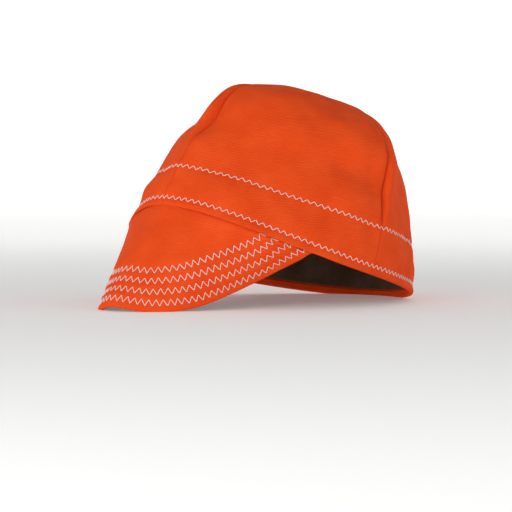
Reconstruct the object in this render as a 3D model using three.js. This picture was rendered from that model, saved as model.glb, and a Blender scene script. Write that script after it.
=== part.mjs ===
// A welder's cap of orange twill: four gores, a sweatband and a short soft visor.
//
// Millimetres, +Z up. The cap's front faces -Y and its wearer's left side is +X. Every piece is worked
// out in the cap's own frame, where the head opening lies level round the origin. The finished cap is
// then tipped back onto the surface that it rests on: the visor's front edge and the back of the rim.
import * as THREE from 'three';
import { mergeVertices } from 'three/addons/utils/BufferGeometryUtils.js';

// The head opening
const RIM_ROUND = 590;
const RIM_WIDTH_TO_LENGTH = 0.83;
const RIM_WAVE = 5.4;
const FRONT_LIFT = 1.3;

// The crown, with heights taken from the level of the head opening
const CROWN_HEIGHT = 108;
const APEX_BACK = 11;
const CROWN_ROUNDNESS = 1.4;
const RIM_SECTION = 1.95;
const TOP_SECTION = 1.47;
const CROWN_CLOTH = 2;
const SEAM_GAP = 0.3;
const SEAM_DIP = 1.3;
const SEAM_HALF_WIDTH = 3;
const UPPER_ROW = 27;
const TOP_FADE = 0.35;

// The hem that is turned in round the rim, away from the visor
const HEM_HEIGHT = 3.5;
const HEM_CLOTH = 3.2;
const RIM_ROUNDING = 0.6;
const RIM_ROUNDING_HEIGHT = 1.3;

// The sweatband, inside the crown between the two rows of stitching
const SWEATBAND_FOOT = 5.5;
const SWEATBAND_CLOTH = 1.4;

// The visor, whose leaves run up behind the rim of the crown
const VISOR_HALF_ANGLE = THREE.MathUtils.degToRad(64);
const VISOR_TUCK = 4.6;
const VISOR_BOW = 3;
const VISOR_SWAY = 1.4;
const VISOR_LEAN = 1.9;
const VISOR_CLEARANCE = 0.6;
const VISOR_TOP_CLOTH = 1.6;
const VISOR_LINING_CLOTH = 1.2;

// How the cap rests
const REST_TILT = THREE.MathUtils.degToRad(17.7);
const REST_DEPTH = 25.2;

// Faces of the meshes
const GORE_ROWS = 17;
const VISOR_COLUMNS = 36;
const VISOR_ROWS = 11;
const DIFFERENCE = 1e-3;

// Perimeter of an ellipse by Ramanujan's first formula, solved for its long half
const HALF_LENGTH = RIM_ROUND / (Math.PI * (3 * (1 + RIM_WIDTH_TO_LENGTH)
  - Math.sqrt((3 + RIM_WIDTH_TO_LENGTH) * (1 + 3 * RIM_WIDTH_TO_LENGTH))));
const HALF_WIDTH = HALF_LENGTH * RIM_WIDTH_TO_LENGTH;

// How each side of the crown rises: its reach at the rim, how square its shoulder is, and how far it
// bellies out, or leans in, half way up, as a share of its reach
const WALLS = {
  front: { reach: HALF_LENGTH, shoulder: 3.6, belly: 0.02 },
  back: { reach: HALF_LENGTH, shoulder: 2.25, belly: 0.028 },
  side: { reach: HALF_WIDTH, shoulder: 3.9, belly: 0.06 },
};

// Swellings and dents of the cloth: degrees round from the front seam, height above the rim, how far
// the cloth stands out, and the half width and half height of the place
const FOLDS = [
  { around: -6, up: 84, out: 4.5, wide: 14, tall: 16 },
  { around: 14, up: 34, out: -1.6, wide: 9, tall: 9 },
  { around: 27, up: 81, out: 6, wide: 25, tall: 22 },
  { around: 64, up: 96, out: -2.2, wide: 9, tall: 9 },
  { around: 66, up: 62, out: -2.2, wide: 9, tall: 9 },
  { around: 73, up: 79, out: 5.5, wide: 25, tall: 20 },
  { around: 73, up: 40, out: 2, wide: 12, tall: 12 },
  { around: 81, up: 60, out: -1.2, wide: 5, tall: 9 },
  { around: 111, up: 53, out: -4.6, wide: 20, tall: 22 },
  { around: 150, up: 62, out: 2.4, wide: 22, tall: 20 },
  { around: -38, up: 60, out: 1.9, wide: 18, tall: 18 },
  { around: -72, up: 66, out: -2, wide: 12, tall: 14 },
  { around: -118, up: 46, out: -2.5, wide: 22, tall: 20 },
  { around: -150, up: 72, out: 2.5, wide: 20, tall: 20 },
];

// Where the visor's edge lies from the rim above it: share of the way from the middle to the visor's
// end, how far down, how far ahead and how far outwards
const VISOR_EDGE = [
  { along: 0, down: 70.2, ahead: 23.1, aside: 0 },
  { along: 0.2, down: 68.8, ahead: 14.7, aside: 4 },
  { along: 0.4, down: 56.9, ahead: -0.9, aside: 1.4 },
  { along: 0.6, down: 36.7, ahead: -12.6, aside: -5.6 },
  { along: 0.8, down: 17.5, ahead: -13.9, aside: -10.3 },
  { along: 1, down: 1.5, ahead: 0, aside: 0 },
];

const ORANGE_TWILL = { color: 0xee5424, roughness: 0.92, metalness: 0 };
const DARK_COTTON = { color: 0x2f271f, roughness: 0.95, metalness: 0 };

const signedPower = (value, power) => Math.sign(value) * Math.abs(value) ** power;
const bell = (distance, halfWidth) => Math.exp(-((distance / halfWidth) ** 2));
const rimHeight = (around) => RIM_WAVE * Math.cos(2 * around) + FRONT_LIFT * Math.cos(3 * around);

// The share of the crown's height that lies below a height above the rim
const heightShare = (around, up) => up / (CROWN_HEIGHT - rimHeight(around));

// Turns a share of the crown's height into an angle of rise: none at the rim, a right angle on top
const riseAt = (share) => Math.asin(Math.min(1, share) ** (CROWN_ROUNDNESS / 2));

function wallReach(wall, rise) {
  return wall.reach * Math.cos(rise) ** (2 / wall.shoulder) * (1 + wall.belly * Math.sin(2 * rise));
}

function swelling(around, up) {
  let out = 0;
  for (const fold of FOLDS) {
    const turn = THREE.MathUtils.radToDeg(around) - fold.around;
    const away = THREE.MathUtils.euclideanModulo(turn + 180, 360) - 180;
    out += fold.out * bell(away, fold.wide) * bell(up - fold.up, fold.tall);
  }
  return out;
}

// Outer face of the crown. Each level is an oval that turns from an ellipse at the rim into a softly
// cornered one on top, with its corners on the four seams.
function crownPoint(around, rise) {
  const share = Math.sin(rise) ** (2 / CROWN_ROUNDNESS);
  const section = TOP_SECTION + (RIM_SECTION - TOP_SECTION) * (1 - Math.sin(rise)) ** 2;
  const wall = Math.cos(around) > 0 ? WALLS.front : WALLS.back;
  const sine = signedPower(Math.sin(around), 2 / section);
  const cosine = signedPower(Math.cos(around), 2 / section);
  const aside = wallReach(WALLS.side, rise) * sine;
  const back = -wallReach(wall, rise) * cosine;
  const height = THREE.MathUtils.lerp(rimHeight(around), CROWN_HEIGHT, share);

  const up = height - rimHeight(around);
  const seam = Math.min(Math.abs(aside), Math.abs(back));
  const aboveRow = THREE.MathUtils.smoothstep(up, UPPER_ROW, 2 * UPPER_ROW);
  const belowTop = THREE.MathUtils.smoothstep(Math.cos(rise), 0, TOP_FADE);
  const out = belowTop * swelling(Math.atan2(sine, cosine), up) - SEAM_DIP * aboveRow * bell(seam, SEAM_HALF_WIDTH);
  const outwards = new THREE.Vector3(aside, back, 0.5 * height).normalize();
  return new THREE.Vector3(aside, back + APEX_BACK * share, height).addScaledVector(outwards, out);
}

// Unit normal of a surface, pointing away from the head
function normalOf(surface, along, up) {
  const across = surface(along + DIFFERENCE, up).sub(surface(along - DIFFERENCE, up));
  const upwards = surface(along, up + DIFFERENCE).sub(surface(along, up - DIFFERENCE));
  return across.cross(upwards).normalize();
}

// A point of the crown at a depth below its outer face
function crownAt(around, rise, depth) {
  const steepest = Math.PI / 2 - 2 * DIFFERENCE;
  const normal = normalOf(crownPoint, around, THREE.MathUtils.clamp(rise, 2 * DIFFERENCE, steepest));
  if (rise > steepest) normal.set(0, 0, 1);
  return crownPoint(around, rise).addScaledVector(normal, -depth);
}

function crownAtHeight(around, up, depth) {
  return crownAt(around, riseAt(heightShare(around, up)), depth);
}

// Catmull-Rom curve through one column of the visor's table, mirrored or reversed past its middle
function visorEdgeValue(column, along) {
  const steps = VISOR_EDGE.length - 1;
  const place = Math.min(Math.abs(along), 1) * steps;
  const first = Math.min(Math.floor(place), steps - 1);
  const side = column === 'aside' ? -1 : 1;
  const value = (index) => {
    if (index < 0) return side * VISOR_EDGE[-index][column];
    if (index > steps) return 2 * VISOR_EDGE[steps][column] - VISOR_EDGE[steps - 1][column];
    return VISOR_EDGE[index][column];
  };
  const [before, from, to, after] = [first - 1, first, first + 1, first + 2].map(value);
  const t = place - first;
  return from + 0.5 * t * (to - before
    + t * (2 * before - 5 * from + 4 * to - after + t * (3 * (from - to) + after - before)));
}

// Outer face of the visor: along runs from -1 to 1 round the brow, and down from -1, the top of the
// tuck behind the crown's rim, through 0 at the rim to 1 at the visor's edge.
function visorPoint(along, down) {
  const around = along * VISOR_HALF_ANGLE;
  const behindCrown = CROWN_CLOTH + VISOR_CLEARANCE;
  if (down < 0) return crownAtHeight(around, -down * VISOR_TUCK, behindCrown);
  const point = crownAtHeight(around, 0, behindCrown);
  const side = Math.sign(along);
  const depth = visorEdgeValue('down', along);
  point.x += side * visorEdgeValue('aside', along) * down;
  point.y -= visorEdgeValue('ahead', along) * down;
  point.z -= depth * down;
  // The soft visor sways towards the wearer's right, where it also hangs lower
  point.x -= VISOR_SWAY * Math.cos(along * Math.PI / 2) * down;
  point.z += VISOR_LEAN * Math.sin(along * Math.PI) * down;
  const bow = 4 * down * (1 - down) * VISOR_BOW * depth / VISOR_EDGE[0].down;
  return point.add(new THREE.Vector3(Math.sin(around), -Math.cos(around), 0).multiplyScalar(bow));
}

function visorAt(along, down, depth) {
  const lowest = THREE.MathUtils.clamp(down, -1 + DIFFERENCE, 1 - DIFFERENCE);
  const normal = normalOf((a, d) => visorPoint(a, -d), along, -lowest);
  return visorPoint(along, down).addScaledVector(normal, -depth);
}

// Cloth below the surface that the cap rests on is pressed up to it
const UP_AT_REST = new THREE.Vector3(0, -Math.sin(REST_TILT), Math.cos(REST_TILT));
function pressed(point) {
  const below = -(point.dot(UP_AT_REST) + REST_DEPTH);
  return below > 0 ? point.addScaledVector(UP_AT_REST, below) : point;
}

// A closed wall between two grids of points, with rows that run upwards and columns that run round
// towards the wearer's left. A ring has its last column on its first and so has no end faces.
function wall(outside, inside, { ring = false } = {}) {
  const positions = [];
  const triangle = (a, b, c) => {
    if (!a.equals(b) && !b.equals(c) && !c.equals(a)) positions.push(...a, ...b, ...c);
  };
  const quad = (a, b, c, d) => {
    triangle(a, b, c);
    triangle(a, c, d);
  };
  const top = outside.length - 1;
  const end = outside[0].length - 1;
  for (let row = 0; row < top; row += 1) {
    for (let column = 0; column < end; column += 1) {
      const [right, above] = [column + 1, row + 1];
      quad(outside[row][column], outside[row][right], outside[above][right], outside[above][column]);
      quad(inside[row][column], inside[above][column], inside[above][right], inside[row][right]);
    }
  }
  for (let column = 0; column < end; column += 1) {
    quad(inside[0][column], inside[0][column + 1], outside[0][column + 1], outside[0][column]);
    quad(outside[top][column], outside[top][column + 1], inside[top][column + 1], inside[top][column]);
  }
  for (let row = 0; row < top && !ring; row += 1) {
    quad(inside[row][0], outside[row][0], outside[row + 1][0], inside[row + 1][0]);
    quad(outside[row][end], inside[row][end], inside[row + 1][end], outside[row + 1][end]);
  }
  const geometry = new THREE.BufferGeometry();
  geometry.setAttribute('position', new THREE.Float32BufferAttribute(positions, 3));
  const closed = mergeVertices(geometry);
  closed.computeVertexNormals();
  return closed;
}

const grid = (rows, columns, pointAt) => rows.map((row) => columns.map((column) => pointAt(column, row)));
const evenSteps = (count, from, to) => Array.from({ length: count + 1 },
  (_, step) => THREE.MathUtils.lerp(from, to, step / count));

// Shares of a gore's width, closer together at its seams
const HALF_GORE_SHARES = [0, 0.025, 0.06, 0.115, 0.185, 0.26, 0.34, 0.42];
const GORE_SHARES = [...HALF_GORE_SHARES, 0.5, ...HALF_GORE_SHARES.map((share) => 1 - share).reverse()];

// Thickness of the turned hem round the back and sides, and of the single cloth over the visor
function hemDepth(around, up) {
  const angle = Math.abs(THREE.MathUtils.euclideanModulo(around + Math.PI, 2 * Math.PI) - Math.PI);
  const pastVisor = THREE.MathUtils.smoothstep(angle, VISOR_HALF_ANGLE + 0.05, VISOR_HALF_ANGLE + 0.2);
  return up > HEM_HEIGHT ? CROWN_CLOTH : THREE.MathUtils.lerp(CROWN_CLOTH, HEM_CLOTH, pastVisor);
}

// One gore of the crown, from one seam to the next. Its shift keeps the seams and the top apart.
function gore(quarter) {
  const columns = GORE_SHARES.map((share) => (quarter + share) * Math.PI / 2);
  const middle = (quarter + 0.5) * Math.PI / 2;
  const shift = new THREE.Vector3(Math.sign(Math.sin(middle)), -Math.sign(Math.cos(middle)), 0)
    .multiplyScalar(SEAM_GAP / 2);
  const rimRows = [0, RIM_ROUNDING_HEIGHT, HEM_HEIGHT, HEM_HEIGHT + 0.3];
  const firstRise = riseAt(SWEATBAND_FOOT / CROWN_HEIGHT);
  const upperRows = evenSteps(GORE_ROWS, firstRise, Math.PI / 2);
  const face = (depthAt) => {
    const rows = [
      ...grid(rimRows, columns, (around, up) => crownAtHeight(around, up, depthAt(around, up))),
      ...grid(upperRows, columns, (around, rise) => crownAt(around, rise, depthAt(around, CROWN_HEIGHT))),
    ].map((row) => row.map((point) => pressed(point.add(shift))));
    rows.at(-1).fill(rows.at(-1)[0]);
    return rows;
  };
  const outside = face((around, up) => (up === 0 ? RIM_ROUNDING : 0));
  const inside = face(hemDepth);
  return wall(outside, inside);
}

function sweatband() {
  const columns = evenSteps(3, 0, 3).flatMap((quarter) => GORE_SHARES.slice(0, -1)
    .map((share) => (quarter + share) * Math.PI / 2)).concat(2 * Math.PI);
  const rows = evenSteps(4, SWEATBAND_FOOT, UPPER_ROW);
  const face = (depth) => grid(rows, columns, (around, up) => crownAtHeight(around, up, depth));
  const clear = CROWN_CLOTH + SEAM_GAP;
  return wall(face(clear), face(clear + SWEATBAND_CLOTH), { ring: true });
}

// One leaf of the visor, between two depths below the visor's outer face
function visorLeaf(outerDepth, cloth) {
  const columns = evenSteps(VISOR_COLUMNS, -1, 1);
  const tuckRows = [RIM_ROUNDING_HEIGHT, HEM_HEIGHT, VISOR_TUCK].map((up) => -up / VISOR_TUCK);
  const rows = [...evenSteps(VISOR_ROWS, 1, 0), ...tuckRows];
  const face = (depth) => grid(rows, columns, (along, down) => pressed(visorAt(along, down, depth)));
  return wall(face(outerDepth), face(outerDepth + cloth));
}

function piece(name, geometry, finish) {
  const mesh = new THREE.Mesh(geometry, new THREE.MeshStandardMaterial(finish));
  mesh.name = name;
  return mesh;
}

const cap = new THREE.Group();
cap.add(
  piece('crown_left_front', gore(0), ORANGE_TWILL),
  piece('crown_left_back', gore(1), ORANGE_TWILL),
  piece('crown_right_back', gore(2), ORANGE_TWILL),
  piece('crown_right_front', gore(3), ORANGE_TWILL),
  piece('sweatband', sweatband(), DARK_COTTON),
  piece('visor_top', visorLeaf(0, VISOR_TOP_CLOTH), ORANGE_TWILL),
  piece('visor_lining', visorLeaf(VISOR_TOP_CLOTH + SEAM_GAP, VISOR_LINING_CLOTH), DARK_COTTON),
);
cap.rotation.x = -REST_TILT;
cap.position.z = REST_DEPTH;

// The origin is on the surface, under the middle of the cap
cap.updateMatrixWorld(true);
cap.position.y = -new THREE.Box3().setFromObject(cap, true).getCenter(new THREE.Vector3()).y;

const model = new THREE.Group();
model.add(cap);

export default model;
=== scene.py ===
"""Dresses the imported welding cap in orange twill, dark cotton and zigzag stitching, on a pale studio floor.

Shapes are worked out in millimetres in the cap's own frame, where the head opening lies level round the
origin, the front faces -Y and the wearer's left is +X. place() then tips them back as the cap rests.
"""

import math

import bpy
import numpy as np
from bpy.props import FloatProperty, FloatVectorProperty, IntProperty, PointerProperty
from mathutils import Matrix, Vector


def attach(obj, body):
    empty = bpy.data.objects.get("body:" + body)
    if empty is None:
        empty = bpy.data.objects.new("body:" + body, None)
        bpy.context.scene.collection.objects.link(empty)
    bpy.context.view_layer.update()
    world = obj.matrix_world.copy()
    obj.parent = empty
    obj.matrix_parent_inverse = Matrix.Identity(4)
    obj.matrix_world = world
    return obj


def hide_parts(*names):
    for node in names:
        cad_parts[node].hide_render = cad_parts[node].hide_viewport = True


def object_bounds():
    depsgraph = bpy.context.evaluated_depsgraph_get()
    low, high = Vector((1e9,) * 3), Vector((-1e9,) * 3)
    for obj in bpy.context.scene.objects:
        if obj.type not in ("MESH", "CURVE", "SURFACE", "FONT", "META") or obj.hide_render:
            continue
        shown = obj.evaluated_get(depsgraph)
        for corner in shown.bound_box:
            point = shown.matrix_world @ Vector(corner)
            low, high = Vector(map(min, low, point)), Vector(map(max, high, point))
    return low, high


bl_info = {
    "name": "Welding cap",
    "version": (1, 0, 0),
    "blender": (4, 5, 0),
    "location": "View3D > Sidebar > Cap",
    "description": "Dresses the solids of a welding cap in twill, cotton and zigzag stitching",
    "category": "Add Mesh",
}

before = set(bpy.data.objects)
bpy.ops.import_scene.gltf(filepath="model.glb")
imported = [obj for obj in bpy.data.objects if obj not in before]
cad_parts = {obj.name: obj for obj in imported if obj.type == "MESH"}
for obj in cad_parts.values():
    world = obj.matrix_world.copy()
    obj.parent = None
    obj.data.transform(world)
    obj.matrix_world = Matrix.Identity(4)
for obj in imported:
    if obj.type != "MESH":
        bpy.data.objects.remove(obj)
CAD_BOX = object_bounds()

MM = 0.001
TURN = 2 * math.pi

# The head opening and the crown, as in the solids
RIM_ROUND = 590
RIM_WIDTH_TO_LENGTH = 0.83
RIM_WAVE = 5.4
FRONT_LIFT = 1.3
CROWN_HEIGHT = 108
APEX_BACK = 11
CROWN_ROUNDNESS = 1.4
RIM_SECTION = 1.95
TOP_SECTION = 1.47
CROWN_CLOTH = 2
SEAM_DIP = 1.3
SEAM_HALF_WIDTH = 3
LOWER_ROW = 5.5
UPPER_ROW = 27
ROW_LIFT = 3.5
TOP_FADE = 0.35

# The hem, the sweatband and the visor's leaves
HEM_HEIGHT = 4.2
HEM_CLOTH = 3.2
THIN_HEM = 1.5
SWEATBAND_DEPTH = 2.3
SWEATBAND_CLOTH = 1.4
VISOR_HALF_ANGLE = math.radians(64)
VISOR_TUCK = 4.6
VISOR_BOW = 3
VISOR_SWAY = 1.4
VISOR_LEAN = 1.9
VISOR_CLEARANCE = 0.6
VISOR_TOP_CLOTH = 1.6
VISOR_EDGE_CLOTH = 3.0
LINING_DEPTH = 1.9
LINING_CLOTH = 1.2
LINING_INSET = 2.8

# How the cap rests
REST_TILT = math.radians(17.7)
REST_BACK = 15.672
REST_DEPTH = 25.2

# Small distances: how far the crown's edge sinks over the visor, how far each gore is moved away from its
# neighbours, and the height up to which the crown's points lie close together
EDGE_SINKS = 0.7
GORE_GAP = 0.04
DETAIL_TOP = 30

# Normals are worked out this far inside a surface's ends, in its parameters
END_GAP = 2e-3

# Where the camera aims from the cap's middle: to the right and up
FRAME_SHIFT = (1.9, -39.4)

# The studio's lights: degrees round from the front, degrees up, metres away and metres across
LIGHTS = {
    "key": (16, 5, 1.7, 0.8),
    "fill": (100, 16, 1.9, 0.9),
}

HALF_LENGTH = RIM_ROUND / (math.pi * (3 * (1 + RIM_WIDTH_TO_LENGTH)
    - math.sqrt((3 + RIM_WIDTH_TO_LENGTH) * (1 + 3 * RIM_WIDTH_TO_LENGTH))))
HALF_WIDTH = HALF_LENGTH * RIM_WIDTH_TO_LENGTH

# Each side of the crown: reach at the rim, squareness of the shoulder, belly
FRONT_WALL = (HALF_LENGTH, 3.6, 0.02)
BACK_WALL = (HALF_LENGTH, 2.25, 0.028)
SIDE_WALL = (HALF_WIDTH, 3.9, 0.06)

# Swellings of the cloth: degrees round from the front seam, height above the rim, how far it stands
# out, half width in degrees and half height
FOLDS = (
    (-6, 84, 4.5, 14, 16),
    (14, 34, -1.6, 9, 9),
    (27, 81, 6, 25, 22),
    (64, 96, -2.2, 9, 9),
    (66, 62, -2.2, 9, 9),
    (73, 79, 5.5, 25, 20),
    (73, 40, 2, 12, 12),
    (81, 60, -1.2, 5, 9),
    (111, 53, -4.6, 20, 22),
    (150, 62, 2.4, 22, 20),
    (-38, 60, 1.9, 18, 18),
    (-72, 66, -2, 12, 14),
    (-118, 46, -2.5, 22, 20),
    (-150, 72, 2.5, 20, 20),
)

# Small dents of the cloth, which the solids leave out, in the same terms
DENTS = (
    (79, 68, -2.2, 7, 12),
    (64, 60, -1.8, 6, 8),
    (71, 42, 1.6, 9, 9),
    (47, 66, 1.1, 9, 10),
    (56, 38, -1.2, 5, 9),
    (20, 63, -1.0, 8, 10),
    (112, 30, 1.3, 14, 12),
    (-30, 40, -1.1, 12, 9),
    (-24, 73, -2.6, 9, 9),
    (-80, 50, -1.6, 10, 14),
)

# The flatter brow on the wearer's right, of the crown and the visor alike, in the same terms
BROW = (
    (-36, 8, -2.3, 20, 12),
    (-29, 26, -0.9, 18, 9),
)

# Folds along the front seam: millimetres to the wearer's left of it, then in the same terms
FRONT_SEAM_FOLDS = (
    (7, 42, 2.4, 8, 9),
    (4, 64, -3.4, 5, 11),
    (-3.2, 62, 1.5, 2.4, 13),
    (-12, 56, -2.2, 8, 8),
    (0.9, 68, -2.8, 1.6, 13),
)

# The visor's edge from the rim above it, at even steps from the middle to the visor's end
VISOR_EDGE = {
    "down": (70.2, 68.8, 56.9, 36.7, 17.5, 1.5),
    "ahead": (23.1, 14.7, -0.9, -12.6, -13.9, 0),
    "aside": (0, 4, 1.4, -5.6, -10.3, 0),
}


def bell(distance, half_width):
    """A bell curve: e to the power of minus the square of distance over half width."""
    return np.exp(-((distance / half_width) ** 2))


def ease(value, low, high):
    """Smooth step from 0 at low to 1 at high: 3 t squared minus 2 t cubed."""
    t = np.clip((value - low) / (high - low), 0, 1)
    return t * t * (3 - 2 * t)


def signed_power(value, power):
    """The size of a value raised to a power, with the value's own sign."""
    return np.sign(value) * np.abs(value) ** power


def unit(values):
    """Vectors divided by their lengths."""
    return values / np.maximum(np.linalg.norm(values, axis=-1, keepdims=True), 1e-12)


def soft_noise(points, wave, seed):
    """The sum of twelve sine waves through space, with random directions and phases and lengths of 0.7 to
    1.5 times the given wave; nearly always between -1 and 1."""
    draw = np.random.default_rng(seed)
    total = 0
    for _ in range(12):
        ripple = unit(draw.normal(size=3)) * TURN / (wave * draw.uniform(0.7, 1.5))
        total = total + np.sin(points @ ripple + draw.uniform(0, TURN))
    return total / 4.5


def vectors(x, y, z):
    """Points or directions from their three coordinates."""
    return np.stack(np.broadcast_arrays(x, y, z), axis=-1)


def arc_lengths(points, axis=0):
    """Running length along a line of points, from 0 at its start."""
    steps = np.linalg.norm(np.diff(points, axis=axis), axis=-1)
    start = np.zeros_like(np.take(steps, [0], axis=axis))
    return np.concatenate([start, np.cumsum(steps, axis=axis)], axis=axis)


def normals_of(surface, u, v, step=1e-3):
    """Unit normals of a surface of two parameters: the cross product of its steps along u and along v."""
    along_u = surface(u + step, v) - surface(u - step, v)
    along_v = surface(u, v + step) - surface(u, v - step)
    return unit(np.cross(along_u, along_v))


def size_of(name):
    """One of the cap's lengths, in millimetres."""
    return getattr(bpy.context.scene.cap_sizes, name) / MM


def place(points):
    """Tips the cap back by its rest tilt about X, lifts it onto the floor, presses what would lie below the
    floor up to it, and turns millimetres into metres."""
    x, y, z = np.moveaxis(points, -1, 0)
    back = y * math.cos(REST_TILT) + z * math.sin(REST_TILT) + REST_BACK
    up = -y * math.sin(REST_TILT) + z * math.cos(REST_TILT) + REST_DEPTH
    return vectors(x, back, np.maximum(up, 0)) * MM


def rim_height(around):
    """Height of the rim: two waves round the head, and a lift of the front that three waves give."""
    return RIM_WAVE * np.cos(2 * around) + FRONT_LIFT * np.cos(3 * around)


def rise_at(around, up):
    """Angle of rise at a height above the rim: none at the rim, a right angle on top."""
    share = np.clip(up / (CROWN_HEIGHT - rim_height(around)), 0, 1)
    return np.arcsin(share ** (CROWN_ROUNDNESS / 2))


def wall_reach(wall, rise):
    """Reach of one side of the crown: its reach at the rim times a power of the cosine of the rise, bellied
    by the sine of twice the rise."""
    reach, shoulder, belly = wall
    return reach * np.abs(np.cos(rise)) ** (2 / shoulder) * (1 + belly * np.sin(2 * rise))


def bumps(around, up, table):
    """Sum of the folds or dents of a table, each a bell curve both ways."""
    out = 0
    for at, height, stands_out, wide, tall in table:
        away = (np.degrees(around) - at + 180) % 360 - 180
        out = out + stands_out * bell(away, wide) * bell(up - height, tall)
    return out


def crown_parts(around, rise):
    """The crown's smooth form at an angle round the head and an angle of rise: points, height above the rim
    and distance from the nearest seam. Each level is an oval of the superellipse kind, an ellipse at the rim
    that turns into a softly cornered one on top."""
    around, rise = np.broadcast_arrays(around, rise)
    sine_rise = np.clip(np.sin(rise), 0, 1)
    share = sine_rise ** (2 / CROWN_ROUNDNESS)
    section = TOP_SECTION + (RIM_SECTION - TOP_SECTION) * (1 - sine_rise) ** 2
    sine = signed_power(np.sin(around), 2 / section)
    cosine = signed_power(np.cos(around), 2 / section)
    aside = wall_reach(SIDE_WALL, rise) * sine
    back = -np.where(cosine > 0, wall_reach(FRONT_WALL, rise), wall_reach(BACK_WALL, rise)) * cosine
    rim = rim_height(around)
    height = rim + (CROWN_HEIGHT - rim) * share
    up = height - rim
    seam = np.minimum(np.abs(aside), np.abs(back))
    out = (ease(np.cos(rise), 0, TOP_FADE) * bumps(np.arctan2(sine, cosine), up, FOLDS)
           - SEAM_DIP * ease(up, UPPER_ROW, 2 * UPPER_ROW) * bell(seam, SEAM_HALF_WIDTH))
    outwards = unit(vectors(aside, back, 0.5 * height))
    points = vectors(aside, back + APEX_BACK * share, height) + outwards * out[..., None]
    return points, up, seam


def crown_smooth(around, rise):
    """The points alone of the crown's smooth form."""
    return crown_parts(around, rise)[0]


def past_visor(around, start, end):
    """How far an angle round the head lies past the visor's end: a smooth step from 0 to 1 between two
    angles that are measured from that end."""
    turned = np.abs((around + math.pi) % TURN - math.pi)
    return ease(turned, VISOR_HALF_ANGLE + start, VISOR_HALF_ANGLE + end)


def over_visor(around, up):
    """How far a place of the crown belongs to the thin edge that lies over the visor, from 0 to 1."""
    return (1 - past_visor(around, -0.1, 0.1)) * (1 - ease(up, 2, 13))


def seam_folds(points, around, up, seam):
    """Folds along the seams, in millimetres outwards. At the front seam the left gore puffs and then sinks
    beside a ridge of the right gore, each a bell curve both ways. At the side seams the back gores stand
    proud of the front ones up to the shoulder and lie lower above it, and a crease runs down the seam."""
    aside, back = points[..., 0], points[..., 1]
    front = ease(-back, 5, 30) * sum(
        stands_out * bell(up - height, tall) * bell(aside - left, wide)
        for left, height, stands_out, wide, tall in FRONT_SEAM_FOLDS)
    sides = ease(np.abs(aside), 20, 50) * ease(up, UPPER_ROW, UPPER_ROW + 22)
    on_shoulder = ease(up, 68, 86)
    behind = (1.4 - 2.6 * on_shoulder) * bell(seam - 4, 4)
    before = -0.9 * (1 - on_shoulder) * bell(seam - 2, 3.5)
    crease = 1.2 * bell(seam, 1.2)
    return front + sides * (np.where(np.cos(around) < 0, behind, before) - crease)


def upper_row(around):
    """Height of the crown's upper stitched row, which the sine squared of the angle lifts at the sides."""
    return UPPER_ROW + ROW_LIFT * np.sin(around) ** 2


def crown_relief(points, around, up, seam):
    """What the sewing and wearing add to the smooth crown, in millimetres outwards: grooves under the two
    stitched rows, puffs between the rows and at the fold, puckers, soft creases and dents, edges that turn
    down into the seams on a quarter circle, folds along the seams, and a flatter edge over the visor."""
    above_lower, above_upper = up - LOWER_ROW, up - upper_row(around)
    grooves = size_of("stitch_groove") * (bell(above_lower, 1.7) + bell(above_upper, 2.0))
    puffs = 0.35 * bell(up - 2.2, 1.8) + 0.2 * bell(up - 16, 7)
    beside_rows = bell(above_upper, 8) + 0.7 * bell(above_lower, 5)
    between_rows = bell(up - 17, 8)
    puckers = (0.45 * beside_rows * soft_noise(points * (1, 1, 0.35), 11, seed=3)
               + 1.1 * between_rows * soft_noise(points * (1, 1, 0.6), 21, seed=9))
    waves = size_of("crease_height") * (soft_noise(points, 34, seed=5) + 0.4 * soft_noise(points, 15, seed=7))
    creases = ease(up, 4, 40) * (waves + bumps(around, up, DENTS)) + bumps(around, up, BROW)
    radius = size_of("seam_round") * (0.4 + 0.6 * ease(above_upper, -2, 14))
    short = np.clip(radius - seam, 0, None)
    edges = np.sqrt(np.maximum(radius ** 2 - short ** 2, 0)) - radius
    folds = seam_folds(points, around, up, seam) - EDGE_SINKS * over_visor(around, up)
    return puffs - grooves + puckers + creases + edges + folds


def crown_cloth(around, rise):
    """The dressed outer face of the crown: its points, its smooth normals and its height above the rim."""
    points, up, seam = crown_parts(around, rise)
    steepest = math.pi / 2 - END_GAP
    normals = normals_of(crown_smooth, around, np.clip(rise, END_GAP, steepest))
    on_top = np.broadcast_to(rise, up.shape) > steepest
    normals = np.where(on_top[..., None], (0, 0, 1), normals)
    return points + normals * crown_relief(points, around, up, seam)[..., None], normals, up


def visor_edge_value(column, along):
    """Catmull-Rom curve through one column of the visor's table, mirrored past the middle, or reversed where
    the column points aside, and carried on in a straight line past the end."""
    table = VISOR_EDGE[column]
    side = -1 if column == "aside" else 1
    values = np.array([side * table[1], *table, 2 * table[-1] - table[-2]], dtype=float)
    spot = np.minimum(np.abs(along), 1) * (len(table) - 1)
    first = np.minimum(np.floor(spot).astype(int), len(table) - 2)
    before, start, end, after = (values[first + step] for step in range(4))
    t = spot - first
    return start + 0.5 * t * (end - before + t * (
        2 * before - 5 * start + 4 * end - after + t * (3 * (start - end) + after - before)))


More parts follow.
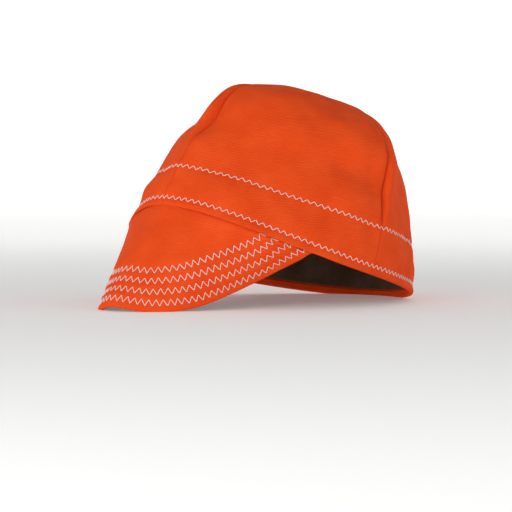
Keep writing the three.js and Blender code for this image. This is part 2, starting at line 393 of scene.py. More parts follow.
def visor_smooth(along, down):
    """The visor's smooth outer face: along from -1 to 1 round the brow, down from -1 at the top of the tuck
    behind the crown's rim through 0 at the rim to 1 at the edge. Straight lines from the rim to the edge,
    bowed outwards by a parabola. The soft visor sways towards the wearer's right, where it hangs lower."""
    along, down = np.broadcast_arrays(along, down)
    around = along * VISOR_HALF_ANGLE
    rise = rise_at(around, np.maximum(-down, 0) * VISOR_TUCK)
    behind = CROWN_CLOTH + VISOR_CLEARANCE
    root = crown_smooth(around, rise) - behind * normals_of(crown_smooth, around, np.maximum(rise, END_GAP))
    below = np.maximum(down, 0)
    aside, ahead, depth = (visor_edge_value(column, along) for column in ("aside", "ahead", "down"))
    reach = vectors(np.sign(along) * aside, -ahead, -depth)
    bow = 4 * below * (1 - below) * VISOR_BOW * depth / VISOR_EDGE["down"][0]
    outwards = vectors(np.sin(around), -np.cos(around), 0)
    askew = vectors(-VISOR_SWAY * np.cos(along * math.pi / 2), 0, VISOR_LEAN * np.sin(along * math.pi))
    return root + (reach + askew) * below[..., None] + outwards * bow[..., None]


VISOR_RIM_LINE = visor_smooth(np.linspace(-1, 1, 601), np.ones(601))


def edge_distance(points):
    """Distance from points to the nearest point of the visor's edge."""
    flat = points.reshape(-1, 3)
    squares = (flat ** 2).sum(1)[:, None] + (VISOR_RIM_LINE ** 2).sum(1) - 2 * flat @ VISOR_RIM_LINE.T
    return np.sqrt(np.maximum(squares.min(axis=1), 0)).reshape(points.shape[:-1])


def visor_row_distances():
    """Distance of each stitched row's middle line from the visor's edge."""
    rows = range(bpy.context.scene.cap_sizes.visor_rows)
    return [size_of("visor_first_row") + row * size_of("visor_row_spacing") for row in rows]


def row_share(along):
    """Shrinks distances from the visor's edge towards its ends, where the rows spread apart."""
    return 1 - 0.15 * ease(np.abs(along), 0.5, 0.85)


def visor_cloth(along, down):
    """The dressed outer face of the visor: points, smooth normals and distance from the edge, at the rows'
    scale. The cloth rolls out just below the crown's rim, bulges near the middle of its edge and is flatter
    at the brow. Each stitched row draws a groove, and the cloth puffs and puckers between the rows."""
    points = visor_smooth(along, down)
    normals = -normals_of(visor_smooth, along, np.clip(down, END_GAP - 1, 1 - END_GAP))
    to_edge = edge_distance(points)
    distance = to_edge * row_share(along)
    roll = 0.8 * bell(down - 0.04, 0.08) * ease(to_edge, 3, 20)
    bulge = 1.3 * bell(to_edge - 5, 9) * bell(along, 0.5)
    above_rim = -down * np.where(down < 0, VISOR_TUCK, visor_edge_value("down", along))
    brow = bumps(along * VISOR_HALF_ANGLE, above_rim, BROW)
    waves = 0.25 * soft_noise(points, 26, seed=11)
    puckers = 0.12 * soft_noise(points, 7, seed=12) * ease(distance, 0, 3) * (1 - ease(distance, 28, 36))
    grooves = size_of("quilting") * sum(bell(distance - row, 2.1) for row in visor_row_distances())
    relief = roll + bulge + brow + waves + puckers - grooves
    return points + normals * relief[..., None], normals, distance


def folded(outer, normals, thickness, radius, arc=9):
    """A closed shell of cloth in one grid of rows: down its outer face, round its lower edge on a half circle
    of the given radius, and up its inner face, which lies its thickness below the outer one."""
    column = outer[-1] - outer[-2]
    down = unit(np.cross(normals[-1], np.gradient(outer[-1], axis=0)))
    down = down * np.sign((down * column).sum(axis=-1, keepdims=True))
    turn = np.linspace(0, math.pi, arc + 2)[1:-1, None, None]
    radius = np.broadcast_to(radius, outer.shape[1:2])[:, None]
    rounded = outer[-1] - normals[-1] * radius * (1 - np.cos(turn)) + down * radius * np.sin(turn)
    inner = outer - normals * thickness[..., None]
    return np.concatenate([outer, rounded, inner[::-1]])


def grown_cloth_map(grid, middle):
    """Flat coordinates of a folded grid in millimetres, for the weave: length along each row from its middle
    column, and length down the middle column."""
    across = arc_lengths(grid, axis=1)
    across = across - across[:, middle:middle + 1]
    down = arc_lengths(grid[:, middle])[:, None]
    return np.stack([across, np.broadcast_to(down, across.shape)], axis=-1)


def make_object(name, places, faces, material):
    """A smooth mesh of one material, as an object at the origin."""
    mesh = bpy.data.meshes.new(name)
    mesh.from_pydata(places.tolist(), [], faces)
    mesh.polygons.foreach_set("use_smooth", np.ones(len(mesh.polygons), dtype=bool))
    mesh.materials.append(material)
    made = bpy.data.objects.new(name, mesh)
    bpy.context.scene.collection.objects.link(made)
    return made


def end_walls(shell, cloth_map):
    """The walls of a folded shell's cloth at its two ends, with their flat coordinates."""
    half = (len(shell) + 1) // 2
    walls = [np.stack([shell[:half, column], shell[::-1][:half, column]][::side], axis=1)
             for column, side in ((0, -1), (-1, 1))]
    return walls, [np.stack([cloth_map[:half, column]] * 2, axis=1) for column in (0, -1)]


def grid_quads(grid, start=0):
    """The quads between each four neighbours of a grid of points that are numbered from start on."""
    index = np.arange(grid.shape[0] * grid.shape[1]).reshape(grid.shape[:2]) + start
    return np.stack([index[:-1, :-1], index[:-1, 1:], index[1:, 1:], index[1:, :-1]], axis=-1).reshape(-1, 4)


def make_piece(name, grids, finish, maps=None):
    """Places several grids of points and makes them one mesh, with a quad between each four neighbours.
    Points in one place are welded, quads that a weld has narrowed become triangles, and a shell that faces
    inwards is turned round. The maps give cloth its weave, and thread has none."""
    points = place(np.concatenate([grid.reshape(-1, 3) for grid in grids]))
    flat_map = np.concatenate([flat.reshape(-1, 2) for flat in maps]) if maps else np.zeros((len(points), 2))
    starts = np.cumsum([0, *(grid.shape[0] * grid.shape[1] for grid in grids)])
    quads = np.concatenate([grid_quads(grid, start) for grid, start in zip(grids, starts)])
    places, welded = np.unique(np.round(points, 8), axis=0, return_inverse=True)
    welded = welded.reshape(-1)
    corners = welded[quads]
    repeats = corners == np.roll(corners, -1, axis=1)
    whole = quads[~repeats.any(axis=1)]
    triangles = np.concatenate([
        np.delete(quads[repeats[:, side] & (repeats.sum(axis=1) == 1)], side, axis=1) for side in range(4)])
    halves = np.concatenate([whole[:, [0, 1, 2]], whole[:, [0, 2, 3]], triangles])
    first, second, third = np.moveaxis(places[welded[halves]], 1, 0)
    if np.einsum("ij,ij->i", first, np.cross(second, third)).sum() < 0:
        whole, triangles = whole[:, ::-1], triangles[:, ::-1]
    faces = welded[whole].tolist() + welded[triangles].tolist()
    piece = make_object(name, places, faces, shared_material(finish))
    order = np.concatenate([whole.reshape(-1), triangles.reshape(-1)])
    weave = piece.data.uv_layers.new(name="weave")
    weave.uv.foreach_set("vector", flat_map[order].astype(np.float32).reshape(-1))
    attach(piece, "root")
    return piece


def linear(code):
    """An sRGB hex colour as linear red, green, blue and full alpha."""
    parts = [int(code[k:k + 2], 16) / 255 for k in (0, 2, 4)]
    return (*(p / 12.92 if p <= 0.04045 else ((p + 0.055) / 1.055) ** 2.4 for p in parts), 1)


def add_node(tree, kind, inputs=None, **settings):
    """Adds a node to a tree, with its settings and its inputs, each a value or a socket to link."""
    node = tree.nodes.new(kind)
    for key, value in settings.items():
        setattr(node, key, value)
    for key, value in (inputs or {}).items():
        if isinstance(value, bpy.types.NodeSocket):
            tree.links.new(value, node.inputs[key])
        else:
            node.inputs[key].default_value = value
    return node


def new_material(name, roughness, sheen, sheen_colour):
    """A material with a Principled shader alone, matt and slightly fuzzy as cloth is."""
    material = bpy.data.materials.new(name)
    material.use_nodes = True
    shader = material.node_tree.nodes["Principled BSDF"]
    values = {"Roughness": roughness, "Specular IOR Level": 0.05, "Sheen Weight": sheen,
              "Sheen Roughness": 0.45, "Sheen Tint": sheen_colour}
    for key, value in values.items():
        shader.inputs[key].default_value = value
    return material, shader


def two_tones(shader, factor, dark, light, height, strength, bump):
    """Gives a shader a mix of two tones by a factor, and bumps that stand out by millimetres."""
    tree = shader.id_data
    mixed = add_node(tree, "ShaderNodeMix", {
        0: factor, 6: (*dark[:3], 1), 7: (*light[:3], 1)}, data_type="RGBA")
    bumped = add_node(tree, "ShaderNodeBump", {"Height": height, "Strength": strength, "Distance": bump * MM})
    tree.links.new(mixed.outputs[2], shader.inputs["Base Color"])
    tree.links.new(bumped.outputs[0], shader.inputs["Normal"])


def twill(name, light, dark, wale, bump, sheen, sheen_colour):
    """Cotton twill, woven: diagonal wales with yarns across them, slight changes of dye, and fine fibres.
    It is matt, with a soft sheen at grazing angles. The wales are drawn a little wider apart than a real
    0.9 mm so that they show in the render. The tone follows the weave's height, so the hollows between
    the yarns are painted darker and the raised yarns lighter: painted shade and light in the weave, on
    top of the dye's own random changes."""
    material, shader = new_material(name, 0.88, sheen, sheen_colour)
    tree = material.node_tree
    cloth = add_node(tree, "ShaderNodeUVMap", uv_map="weave").outputs["UV"]
    # A wave texture of scale 1 repeats after this length
    wave_period = TURN / 20
    lean = math.radians(28)
    layers = []
    for angle, spacing, distortion, detail_scale in (
            (lean, wale, 1.2, 1.5), (lean + math.pi / 2, 0.6 * wale, 1.5, 2)):
        turned = add_node(tree, "ShaderNodeMapping", {"Vector": cloth, "Rotation": (0, 0, angle)}).outputs[0]
        layers.append(add_node(tree, "ShaderNodeTexWave", {
            "Vector": turned, "Scale": wave_period / spacing, "Distortion": distortion, "Detail": 2,
            "Detail Scale": detail_scale}, wave_type="BANDS", bands_direction="Y").outputs["Fac"])
    for scale, detail in ((2.5, 3), (0.05, 4)):
        layers.append(add_node(tree, "ShaderNodeTexNoise", {
            "Vector": cloth, "Scale": scale, "Detail": detail}).outputs["Fac"])
    wales, yarns, fibres, dye = layers
    height = wales
    for layer, share in ((yarns, 0.45), (fibres, 0.5)):
        height = add_node(
            tree, "ShaderNodeMath", {0: layer, 1: share, 2: height}, operation="MULTIPLY_ADD").outputs[0]
    # Painted shade: the weave's low places get the dark tone and its raised yarns the light one, while the
    # dye noise adds the cloth's real random tone
    tone = add_node(
        tree, "ShaderNodeMath", {0: height, 1: 0.32, 2: dye}, operation="MULTIPLY_ADD").outputs[0]
    spread = add_node(
        tree, "ShaderNodeMapRange", {"Value": tone, "From Min": 0.45, "From Max": 1.15}).outputs[0]
    two_tones(shader, spread, dark, light, height, 0.6, bump)
    return material


def plain_fibre(name, light, dark, grain, bump, roughness):
    """Fibre with no weave to see, as in a sewing thread or a raw cloth edge: a noise of the given grain in
    millimetres mixes two tones and roughens the surface."""
    material, shader = new_material(name, roughness, 0.1, linear("FFFFFF"))
    tree = material.node_tree
    spot = add_node(tree, "ShaderNodeTexCoord").outputs["Object"]
    noise = add_node(tree, "ShaderNodeTexNoise", {
        "Vector": spot, "Scale": 1 / (grain * MM), "Detail": 3}).outputs["Fac"]
    two_tones(shader, noise, dark, light, noise, 0.5, bump)
    return material


def shared_material(name):
    """The finish of that name, made on first use. Each has the function that makes it, a light and a dark
    tone, and then that function's own settings."""
    colours, wale = bpy.context.scene.cap_colours, size_of("wale_spacing")
    finishes = {
        "orange cotton twill": (
            twill, colours.twill_light, colours.twill_dark, wale, 0.22, 0.02, linear("FF9A6A")),
        "dark cotton twill": (
            twill, colours.cotton_light, colours.cotton_dark, wale, 0.16, 0.15, linear("A09888")),
        "polyester sewing thread": (plain_fibre, colours.thread, linear("D9BDB4"), 0.6, 0.05, 0.55),
        "grey bobbin thread": (plain_fibre, colours.bobbin, linear("55504A"), 0.6, 0.05, 0.6),
        "raw cotton edge": (plain_fibre, colours.raw_edge, linear("8C887C"), 0.5, 0.25, 0.9),
    }
    make, *settings = finishes[name]
    return bpy.data.materials.get(name) or make(name, *settings)


def lower_heights():
    """Heights above the rim of the crown's lower rows of points, from high to low and closer together at the
    stitched rows and the hem."""
    spans = ((DETAIL_TOP, 23.5, 13), (23.5, 9, 12), (9, 0, 18))
    rows = [np.linspace(high, low, count, endpoint=False) for high, low, count in spans]
    return np.concatenate([*rows, [0]])


def upper_rises(count):
    """Angles of rise of the rows of points above the lower ones, an even distance apart up to the top of the
    crown on the middle of a gore, from the top down."""
    start = rise_at(math.pi / 4, DETAIL_TOP)
    cosines = np.linspace(math.cos(start), 0, 3000) ** 2 / math.cos(start)
    rises = np.arccos(cosines)
    length = arc_lengths(crown_smooth(np.full(3000, math.pi / 4), rises))
    return np.interp(np.linspace(length[-1], 0, count, endpoint=False), length, rises), start


def seam_shares(width, step):
    """Shares of a gore's width from 0 to 1: at a list of millimetres from each seam, and evenly spaced
    between."""
    near = np.array([0, 0.12, 0.3, 0.5, 0.75, 1.05, 1.5, 2.1, 2.9]) / width
    middle = np.linspace(near[-1], 1 - near[-1], int(width / step) | 1)[1:-1]
    return np.concatenate([near, middle, 1 - near[::-1]])


def gore(node, quarter):
    """One gore of the crown from seam to seam: its dressed outer face, the folded hem, the inner face, and
    the two walls of its cloth along the seams."""
    around = ((quarter + seam_shares(RIM_ROUND / 4, 1.0)) * math.pi / 2)[None, :]
    thick = past_visor(around, 0.05, 0.2)
    hem_radius = THIN_HEM / 2 + (HEM_CLOTH - THIN_HEM) / 2 * thick
    heights = lower_heights()[:, None]
    upper, start = upper_rises(88)
    lower = rise_at(around, heights + hem_radius * (1 - heights / heights[0]))
    fade = np.linspace(0, 1, len(upper))[:, None]
    rise = np.concatenate([upper[:, None] + (lower[0] - start) * fade, lower])
    outer, normals, up = crown_cloth(np.broadcast_to(around, rise.shape), rise)
    hem = (1 - ease(up, HEM_HEIGHT, HEM_HEIGHT + 1.1)) * (HEM_CLOTH - CROWN_CLOTH) * thick
    thinned = (CROWN_CLOTH - THIN_HEM) * over_visor(around, up) * (1 - thick)
    shell = folded(outer, normals, CROWN_CLOTH + hem - thinned, hem_radius[0])
    middle = (quarter + 0.5) * math.pi / 2
    shell = shell + GORE_GAP * np.array([np.sign(np.sin(middle)), -np.sign(np.cos(middle)), 0])
    cloth_map = grown_cloth_map(shell, shell.shape[1] // 2)
    walls, wall_maps = end_walls(shell, cloth_map)
    piece = make_piece(f"{node}_cloth", (shell, *walls), "orange cotton twill", (cloth_map, *wall_maps))
    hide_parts(node)


def sweatband():
    """The band inside the crown between its two stitched rows: a ring whose section is a flat rectangle with
    rounded ends, pressed inwards where the crown sinks and slightly wavy on its inner face."""
    radius = SWEATBAND_CLOTH / 2
    straight = np.linspace(0, 1, 17)
    turn = np.linspace(0, math.pi, 9)[1:-1]
    low, high = LOWER_ROW + radius, UPPER_ROW - radius
    up = np.concatenate([high + (low - high) * straight, low - radius * np.sin(turn),
                         low + (high - low) * straight, high + radius * np.sin(turn), [high]])
    depth = np.concatenate([0 * straight, radius * (1 - np.cos(turn)), 0 * straight + 2 * radius,
                            radius * (1 + np.cos(turn)), [0]])
    around, up, depth = np.broadcast_arrays(np.linspace(0, TURN, 481), up[:, None], depth[:, None])
    rise = rise_at(around, up)
    normals = normals_of(crown_smooth, around, np.maximum(rise, END_GAP))
    smooth, height, seam = crown_parts(around, rise)
    pressed = np.minimum(crown_relief(smooth, around, height, seam), 0)
    waves = 0.15 * soft_noise(smooth, 9, seed=21) * depth / SWEATBAND_CLOTH
    ring = smooth - normals * (SWEATBAND_DEPTH + depth - waves - pressed)[..., None]
    ring[:, -1] = ring[:, 0]
    cloth_map = grown_cloth_map(ring, ring.shape[1] // 2)
    piece = make_piece("sweatband_cloth", [ring], "dark cotton twill", [cloth_map])
    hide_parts("sweatband")


def contour(distance, columns=801):
    """Where a line at that distance from the visor's edge crosses the visor: along and down from end to end,
    by a straight-line search in each column of a fine grid."""
    along = np.linspace(-1, 1, columns)
    down = np.linspace(0, 1, 241)
    table = edge_distance(visor_smooth(along[:, None], down[None, :])) * row_share(along)[:, None]
    first = (table > distance).sum(axis=1) - 1
    crosses = first >= 0
    first = np.clip(first, 0, len(down) - 2)
    rows = np.arange(columns)
    before, after = table[rows, first], table[rows, first + 1]
    share = (before - distance) / np.maximum(before - after, 1e-9)
    return along, np.where(crosses, down[first] + share * (down[1] - down[0]), 0), crosses


def edge_line(distance):
    """The stretch of such a line that lies on the visor: its along and its down."""
    along, down, crosses = contour(distance)
    first, last = np.flatnonzero(crosses)[[0, -1]]
    return along[first:last + 1], down[first:last + 1]


def leaf_rows(lowest, count):
    """How far down the visor each row of a leaf's points lies: five rows in the tuck, then even steps from
    the rim to the lowest place of each column."""
    share = np.concatenate([-np.linspace(1, 0, 5, endpoint=False), np.linspace(0, 1, count)])[:, None]
    return np.where(share < 0, share, share * np.maximum(lowest, 0.02))


def visor_map(grid):
    """Flat coordinates of the visor's cloth in millimetres. It is bent round lines that run forwards and
    down, so one coordinate is the length along those lines and the other is the length of each row across
    them."""
    lines = unit(np.array([0, -VISOR_EDGE["ahead"][0], -VISOR_EDGE["down"][0]]))
    along_lines = grid @ lines
    lengths = arc_lengths(grid - along_lines[..., None] * lines, axis=1)
    middle = lengths.shape[1] // 2
    return np.stack([lengths - lengths[:, middle:middle + 1], along_lines], axis=-1)


def visor_leaf(name, shell, finish):
    """A leaf of the visor: a folded shell closed along its top and its two ends."""
    cloth_map = visor_map(shell)
    walls, wall_maps = end_walls(shell, cloth_map)
    top, top_map = (np.stack([rows[-1], rows[0]]) for rows in (shell, cloth_map))
    return make_piece(name, (shell, *walls, top), finish, (cloth_map, *wall_maps, top_map))


def visor_top():
    """The visor's orange leaf: its dressed outer face, an edge rolled under on a half circle as thick as the
    whole visor, and an inner face that thins to one cloth behind the roll and further at the two ends."""
    along, lowest, _ = contour(VISOR_EDGE_CLOTH / 2, 301)
    down = leaf_rows(lowest, 84)
    outer, normals, distance = visor_cloth(np.broadcast_to(along, down.shape), down)
    rolled = (1 - ease(distance, 1.6, 3.4)) * ease(down, -0.2, 0.2)
    at_ends = 1 - 0.75 * ease(np.abs(along), 0.92, 1)
    thickness = (VISOR_TOP_CLOTH + (VISOR_EDGE_CLOTH - VISOR_TOP_CLOTH) * rolled) * at_ends
    shell = folded(outer, normals, thickness, thickness[-1] / 2, 11)
    piece = visor_leaf("visor_top_cloth", shell, "orange cotton twill")
    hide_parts("visor_top")


def visor_lining():
    """The visor's dark leaf, inset from the orange edge, with a thin rounded edge of its own."""
    along, lowest, _ = contour(LINING_INSET, 241)
    down = leaf_rows(lowest, 64)
    outer, normals, _ = visor_cloth(np.broadcast_to(along, down.shape), down)
    top = outer - normals * LINING_DEPTH
    shell = folded(top, normals, np.full(down.shape, float(LINING_CLOTH)), LINING_CLOTH / 2, 5)
    piece = visor_leaf("visor_lining_cloth", shell, "dark cotton twill")
    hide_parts("visor_lining")


def visor_face(along, down):
    """The visor's dressed outer face, with its normals. It keeps its own scale above the rim too, where a
    stitched row runs on into the tuck."""
    reach = np.hypot(visor_edge_value("down", along), visor_edge_value("ahead", along))
    in_tuck = np.where(down < 0, np.maximum(down * reach / VISOR_TUCK, -1), down)
    points, normals, _ = visor_cloth(along, in_tuck)
    return points, normals


def lining_face(along, down):
    """Lower face of the visor's lining, with normals that point at the brow."""
    points, normals = visor_face(along, down)
    return points - normals * (LINING_DEPTH + LINING_CLOTH), -normals


def tube(path, normals, radius, closed=False, sides=6, flatten=1.0):
    """A round section carried along a path. It is square to the path, and its height stands along the
    surface's normals. An open tube ends in a point at each end."""
    if closed:
        ahead = np.roll(path, -1, axis=0) - np.roll(path, 1, axis=0)
    else:
        ahead = np.gradient(path, axis=0)
    ahead = unit(ahead)
    side = unit(np.cross(normals, ahead))
    rise = np.cross(ahead, side)
    turn = np.linspace(0, TURN, sides + 1)[None, :, None]
    rings = path[:, None] + radius * (np.cos(turn) * side[:, None] + flatten * np.sin(turn) * rise[:, None])
    rings[:, -1] = rings[:, 0]
    if closed:
        return np.concatenate([rings, rings[:1]])
    return np.concatenate([np.broadcast_to(path[:1, None], rings[:1].shape), rings,
                           np.broadcast_to(path[-1:, None], rings[:1].shape)])


LEG = np.array([0, 0.07, 0.18, 0.35, 0.5, 0.65, 0.82, 0.93])
LEG_RISE = np.array([-0.9, 0.25, 0.75, 0.9, 0.95, 0.9, 0.75, 0.25])


def zigzag(surface, u, v, period, width, radius, closed=False, seed=0):
    """A zigzag row of thread along a line of a surface, given by its parameters: holes half a period apart
    on alternate sides of the line, and legs that come up from one hole and go down the next. A step across
    the line becomes a step of the parameters through the surface's metric."""
    points, _ = surface(u, v)
    length = arc_lengths(points)
    legs = 2 * int(round(length[-1] / period))
    at = np.linspace(0, length[-1], legs + 1)
    if closed:
        at = at[:-1]
    draw = np.random.default_rng(seed)
    shake = draw.uniform(-0.04, 0.04, (2, len(at)))
    middle_u, middle_v = np.interp(at + period * shake[0], length, u), np.interp(at, length, v)
    step = 1e-4
    along_u = (surface(middle_u + step, middle_v)[0] - surface(middle_u - step, middle_v)[0]) / (2 * step)
    along_v = (surface(middle_u, middle_v + step)[0] - surface(middle_u, middle_v - step)[0]) / (2 * step)
    if closed:
        line = np.ones_like(at), np.zeros_like(at)
    else:
        line = [np.interp(at + 0.5, length, way) - np.interp(at - 0.5, length, way) for way in (u, v)]
    ahead = unit(along_u * line[0][:, None] + along_v * line[1][:, None])
    across = np.cross(unit(np.cross(along_u, along_v)), ahead)
    uu, uv, vv, across_u, across_v = (np.einsum("ij,ij->i", a, b) for a, b in (
        (along_u, along_u), (along_u, along_v), (along_v, along_v), (along_u, across), (along_v, across)))
    size = (np.arange(len(at)) % 2 - 0.5) * width * (1 + shake[1]) / (uu * vv - uv ** 2)
    hole_u = middle_u + (vv * across_u - uv * across_v) * size
    hole_v = middle_v + (uu * across_v - uv * across_u) * size
    if closed:
        hole_u, hole_v = np.append(hole_u, hole_u[0] + u[-1] - u[0]), np.append(hole_v, hole_v[0])
    leg_u = (hole_u[:-1, None] + np.diff(hole_u)[:, None] * LEG).reshape(-1)
    leg_v = (hole_v[:-1, None] + np.diff(hole_v)[:, None] * LEG).reshape(-1)
    if not closed:
        leg_u, leg_v = np.append(leg_u, hole_u[-1]), np.append(leg_v, hole_v[-1])
    on_cloth, normals = surface(leg_u, leg_v)
    lift = radius * np.resize(LEG_RISE, len(leg_u))
    return tube(on_cloth + normals * lift[:, None], normals, radius, closed)


def crown_face(around, up):
    """The crown's dressed outer face by height above the rim, with its normals."""
    points, normals, _ = crown_cloth(around, rise_at(around, up))
    return points, normals


def run_on(values, steps=8):
    """A line's values with one more at each end, as far past it as a number of its steps."""
    return np.concatenate([[2 * values[0] - values[steps]], values, [2 * values[-1] - values[-1 - steps]]])


def visor_stitches(surface):
    """The thread of the visor's rows, each parallel to its edge and ending behind the crown's rim."""
    stitch = size_of("visor_stitch_period"), size_of("visor_stitch_width"), size_of("thread") / 2
    return [zigzag(surface, *map(run_on, edge_line(distance)), *stitch, seed=40 + number)
            for number, distance in enumerate(visor_row_distances())]


def raw_edge():
    """The raw grey edge of the visor's stiffening, seen from below between the orange edge and the lining: a
    flat oval section carried along the visor's edge, slightly ragged."""
    points, normals = lining_face(*edge_line(LINING_INSET - 0.4))
    length = arc_lengths(points)
    even = np.linspace(0, length[-1], int(length[-1] / 0.6))
    path, facing = (
        vectors(*(np.interp(even, length, column) for column in values.T)) for values in (points, normals))
    facing = unit(facing)
    ragged = 0.12 * np.random.default_rng(9).normal(size=(len(path), 1))
    grid = tube(path + facing * (ragged - 0.1), facing, 0.75, sides=10, flatten=0.5)
    make_piece("visor_raw_edge", [grid], "raw cotton edge")


def length_property(name, description, size, least=0):
    """A length that a user may change, given in millimetres."""
    return FloatProperty(name=name, description=description, default=size * MM, min=least * MM, unit="LENGTH")


def colour_property(name, description, code):
    """A colour that a user may change, given as a hex code."""
    return FloatVectorProperty(
        name=name, description=description, subtype="COLOR", size=3, min=0, max=1, default=linear(code)[:3])


class CapSizes(bpy.types.PropertyGroup):
    """Sizes that the cloth and the stitching follow"""
    thread: length_property("Thread", "Thickness of the sewing thread", 0.46)
    crown_stitch_period: length_property("Crown stitch", "Length of one zigzag of the crown's rows", 4.6, 1)
    crown_stitch_width: length_property("Crown row width", "Width of the crown's zigzag rows", 2.4)
    visor_stitch_period: length_property("Visor stitch", "Length of one zigzag of the visor's rows", 4.4, 1)
    visor_stitch_width: length_property("Visor row width", "Width of the visor's zigzag rows", 3.8)
    visor_first_row: length_property(
        "First visor row", "From the visor's edge to the middle of its first row", 5.5, 1)
    visor_row_spacing: length_property("Visor row spacing", "From one visor row to the next", 6.8, 1)
    visor_rows: IntProperty(
        name="Visor rows", description="Number of stitched rows on the visor", default=4, min=1, max=8)
    stitch_groove: length_property("Stitch groove", "How far a stitched row draws the crown in", 0.45)
    quilting: length_property("Quilting", "How far a stitched row draws the visor in", 0.5)
    crease_height: length_property("Creases", "Height of the soft creases of the crown", 0.6)
    seam_round: length_property("Seam rounding", "Radius on which a gore's cloth turns into a seam", 1.6)
    wale_spacing: length_property("Wale spacing", "From one diagonal rib of the twill to the next", 1.15, 0.1)


class CapColours(bpy.types.PropertyGroup):
    """Colours of the cloth and the thread"""
    # The light tone goes on the raised yarns and the dark tone in the weave's hollows: painted light and
    # shade in the weave, mixed with the dye's random changes
    twill_light: colour_property("Twill, light", "Orange of the twill's raised yarns", "F35723")
    twill_dark: colour_property("Twill, dark", "Orange between the twill's yarns", "E04415")
    # The same here: the darker tone is painted shade in the weave's hollows, the lighter one painted light on
    # its raised yarns
    cotton_light: colour_property("Cotton, light", "Lighter tone of the dark lining", "6A614E")
    cotton_dark: colour_property("Cotton, dark", "Darker tone of the dark lining", "40382C")
    thread: colour_property("Thread", "Thread of the rows that show outside", "FBE9E3")
    bobbin: colour_property("Bobbin thread", "Thread of the rows under the visor", "9A958A")
    raw_edge: colour_property("Raw edge", "Grey edge under the visor", "C4C0B4")


class CapStudio(bpy.types.PropertyGroup):
    """The camera and the lights"""
    azimuth: FloatProperty(
        name="Azimuth", description="Camera's angle round the cap from its front", default=math.radians(44),
        subtype="ANGLE")
    elevation: FloatProperty(
        name="Elevation", description="Camera's angle above the floor", default=math.radians(1),
        subtype="ANGLE")
    distance: FloatProperty(
        name="Distance", description="From the camera to the cap", default=1.6, min=0.1, unit="LENGTH")
    lens: FloatProperty(name="Lens", description="Focal length", default=180, min=1, unit="CAMERA")
    key: FloatProperty(
        name="Key light", description="Power of the light at the front", default=12, min=0, unit="POWER")
    fill: FloatProperty(
        name="Fill light", description="Power of the light from the side", default=1.2, min=0, unit="POWER")
    ambient: FloatProperty(name="Ambient", description="Brightness of the room", default=0.3, min=0)


class CAP_OT_crown(bpy.types.Operator):
    """Makes the four gores of the crown"""
    bl_idname = "cap.crown"
    bl_label = "Crown"

    def execute(self, context):
        nodes = ("crown_left_front", "crown_left_back", "crown_right_back", "crown_right_front")
        for quarter, node in enumerate(nodes):
            gore(node, quarter)
        return {"FINISHED"}


class CAP_OT_sweatband(bpy.types.Operator):
    """Makes the dark band inside the opening"""
    bl_idname = "cap.sweatband"
    bl_label = "Sweatband"

    def execute(self, context):
        sweatband()
        return {"FINISHED"}


class CAP_OT_visor(bpy.types.Operator):
    """Makes the two leaves of the visor and the raw edge between them"""
    bl_idname = "cap.visor"
    bl_label = "Visor"

    def execute(self, context):
        visor_top()
        visor_lining()
        raw_edge()
        return {"FINISHED"}


class CAP_OT_stitching(bpy.types.Operator):
    """Sews the zigzag rows of the crown and of the visor"""
    bl_idname = "cap.stitching"
    bl_label = "Stitching"

    def execute(self, context):
        crown = size_of("crown_stitch_period"), size_of("crown_stitch_width"), size_of("thread") / 2, True
        around = np.linspace(0, TURN, 1441)
        heights = {"lower": np.full_like(around, LOWER_ROW), "upper": upper_row(around)}
        for seed, (name, up) in enumerate(heights.items()):
            row = zigzag(crown_face, around, up, *crown, seed=seed)
            make_piece(f"crown_{name}_stitching", [row], "polyester sewing thread")
        make_piece("visor_stitching", visor_stitches(visor_face), "polyester sewing thread")
        make_piece("visor_lower_stitching", visor_stitches(lining_face), "grey bobbin thread")
        return {"FINISHED"}


class CAP_OT_studio(bpy.types.Operator):
    """Sets up the floor, the lights and the camera"""
    bl_idname = "cap.studio"
    bl_label = "Studio"

    def execute(self, context):
        studio = context.scene.cap_studio
        centre = Vector((CAD_BOX[0] + CAD_BOX[1]) / 2)
        make_floor()
        make_lights(centre, studio)
        make_camera(centre, studio)
        return {"FINISHED"}


def direction(azimuth, elevation):
    """Unit vector towards a viewer at an azimuth, from the front to the wearer's left, and an elevation."""
    level = math.cos(elevation)
    return Vector((math.sin(azimuth) * level, -math.cos(azimuth) * level, math.sin(elevation)))


def make_lights(centre, studio):
    """An evenly white room, and round soft lights that face the cap's middle."""
    scene = bpy.context.scene
    scene.view_settings.view_transform = "Standard"
    scene.world = scene.world or bpy.data.worlds.new("Room")
    scene.world.use_nodes = True
    background = scene.world.node_tree.nodes["Background"]
    background.inputs["Color"].default_value = linear("FFFFFF")
    background.inputs["Strength"].default_value = studio.ambient
    for name, (azimuth, elevation, distance, size) in LIGHTS.items():
        light = bpy.data.lights.new(f"{name}_light", "AREA")
        light.shape, light.size, light.energy = "DISK", size, getattr(studio, name)
        lamp = bpy.data.objects.new(f"{name}_light", light)
        away = direction(math.radians(azimuth), math.radians(elevation))
        lamp.location = centre + away * distance
        lamp.rotation_euler = away.to_track_quat("Z", "Y").to_euler()
        scene.collection.objects.link(lamp)


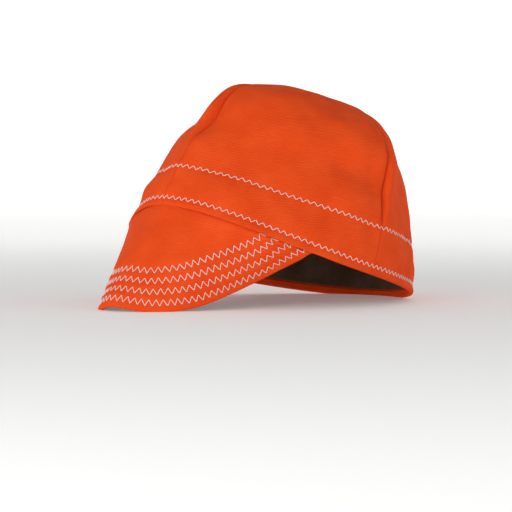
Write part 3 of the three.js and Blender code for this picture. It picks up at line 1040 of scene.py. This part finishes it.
def make_floor():
    """A round pale floor whose outer part turns up into a wall on a quarter circle: a profile carried round
    an upright axis. Its paper glows as well, more so away from the cap: painted light from a part that is
    no lamp, so that the far wall reads white."""
    flat, bend, wall = 2.6, 0.8, 1.2
    turn = np.linspace(0, math.pi / 2, 17)
    reach = np.concatenate([[0, 0.5, 1.5], flat + bend * np.sin(turn), [flat + bend]])
    height = np.concatenate([[0, 0, 0], bend * (1 - np.cos(turn)), [bend + wall]])
    around = np.linspace(0, TURN, 97)[:, None]
    around[-1] = 0
    grid = vectors(reach * np.cos(around), reach * np.sin(around), height)
    places, welded = np.unique(np.round(grid.reshape(-1, 3), 6), axis=0, return_inverse=True)
    faces = [list(dict.fromkeys(face)) for face in welded.reshape(-1)[grid_quads(grid)].tolist()]
    material, shader = new_material("pale studio paper", 0.9, 0, linear("FFFFFF"))
    tree = material.node_tree
    for key in ("Base Color", "Emission Color"):
        shader.inputs[key].default_value = linear("F6F6F5")
    # Painted light: the paper glows, though it is no lamp, more strongly away from the cap, so the far wall
    # reads white
    spot = add_node(tree, "ShaderNodeTexCoord").outputs["Object"]
    away = add_node(tree, "ShaderNodeVectorMath", {0: spot}, operation="LENGTH").outputs["Value"]
    glow = add_node(tree, "ShaderNodeMapRange", {
        "Value": away, "From Min": 0.2, "From Max": 1.3, "To Min": 0.18, "To Max": 0.45},
        interpolation_type="SMOOTHSTEP")
    tree.links.new(glow.outputs[0], shader.inputs["Emission Strength"])
    make_object("studio_floor", places, faces, material)


def make_camera(centre, studio):
    """The photograph's view: a long lens from the cap's front left, just above the floor. The cap's middle
    lies above the middle of the picture, so the camera aims below it."""
    lens = bpy.data.cameras.new("camera")
    lens.lens, lens.sensor_width = studio.lens, 36
    camera = bpy.data.objects.new("camera", lens)
    bpy.context.scene.collection.objects.link(camera)
    away = direction(studio.azimuth, studio.elevation)
    turn = away.to_track_quat("Z", "Y")
    right, above = turn @ Vector((1, 0, 0)), turn @ Vector((0, 1, 0))
    camera.location = centre + away * studio.distance
    aim = centre + right * FRAME_SHIFT[0] * MM + above * FRAME_SHIFT[1] * MM
    camera.rotation_euler = (camera.location - aim).to_track_quat("Z", "Y").to_euler()
    bpy.context.scene.camera = camera


class CAP_PT_panel(bpy.types.Panel):
    """Lists the cap's sizes, colours and pieces"""
    bl_idname = "CAP_PT_panel"
    bl_label = "Welding cap"
    bl_space_type = "VIEW_3D"
    bl_region_type = "UI"
    bl_category = "Cap"

    def draw(self, context):
        for group in (context.scene.cap_sizes, context.scene.cap_colours, context.scene.cap_studio):
            box = self.layout.box()
            for name in group.__annotations__:
                box.prop(group, name)
        for operator in OPERATORS:
            self.layout.operator(operator.bl_idname)


OPERATORS = (CAP_OT_crown, CAP_OT_sweatband, CAP_OT_visor, CAP_OT_stitching, CAP_OT_studio)
GROUPS = {"cap_sizes": CapSizes, "cap_colours": CapColours, "cap_studio": CapStudio}


def register():
    """Registers the cap's classes and its three groups of values."""
    for item in (*GROUPS.values(), *OPERATORS, CAP_PT_panel):
        bpy.utils.register_class(item)
    for name, group in GROUPS.items():
        setattr(bpy.types.Scene, name, PointerProperty(type=group))


def unregister():
    """Takes them back out."""
    for name in GROUPS:
        delattr(bpy.types.Scene, name)
    for item in reversed((*GROUPS.values(), *OPERATORS, CAP_PT_panel)):
        bpy.utils.unregister_class(item)


def main():
    """Makes the studio and every piece in order."""
    register()
    bpy.ops.cap.studio()
    bpy.ops.cap.crown()
    bpy.ops.cap.sweatband()
    bpy.ops.cap.visor()
    bpy.ops.cap.stitching()


if __name__ == "__main__":
    main()
